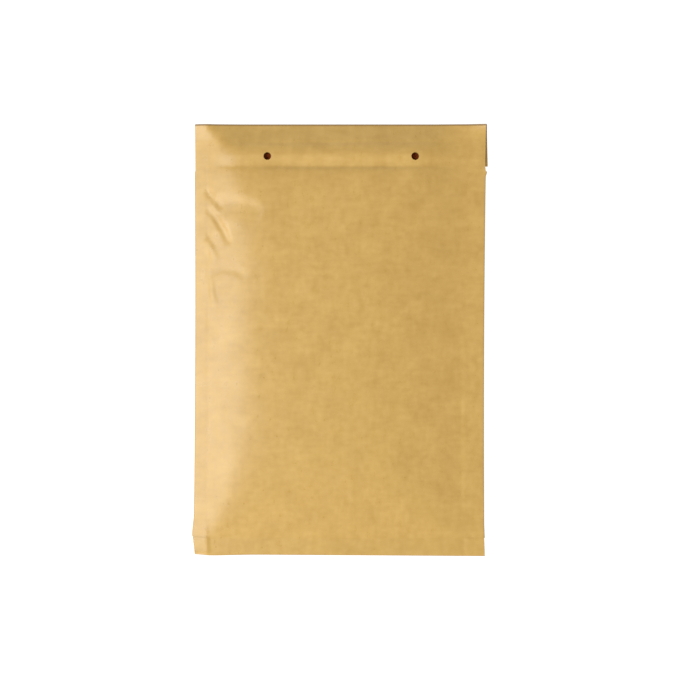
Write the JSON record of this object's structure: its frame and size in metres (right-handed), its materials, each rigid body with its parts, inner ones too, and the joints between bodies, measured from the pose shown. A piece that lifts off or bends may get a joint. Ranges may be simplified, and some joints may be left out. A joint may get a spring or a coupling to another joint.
{
  "type": "bubble mailer",
  "caption": "Flat mailing bag of brown kraft paper with a bubble film lining, a closing flap folded behind it and punched clasp holes near the crease.",
  "frame": {"origin": "under the middle of the bag, on the plane that its back rests on", "axes": "+X across the bag, to the right seen from the front; +Y along it, from the bottom fold to the crease of the flap; +Z out of the front"},
  "size_m": [0.2414, 0.3566, 0.0086],
  "materials": {
    "kraft_paper": "uncoated brown kraft, machine glazed, matt with a faint sheen",
    "bubble_film": "clear polyethylene bubble film, glossy",
    "seal_adhesive": "clear pressure-sensitive adhesive, glossy",
    "release_paper": "white silicone-coated release paper, satin"
  },
  "bodies": {
    "root": {"kraft_front_sheet": "kraft_paper", "kraft_back_sheet": "kraft_paper", "bubble_lining": "bubble_film", "seal_adhesive": "seal_adhesive", "release_strip": "release_paper"}
  },
  "joints": []
}
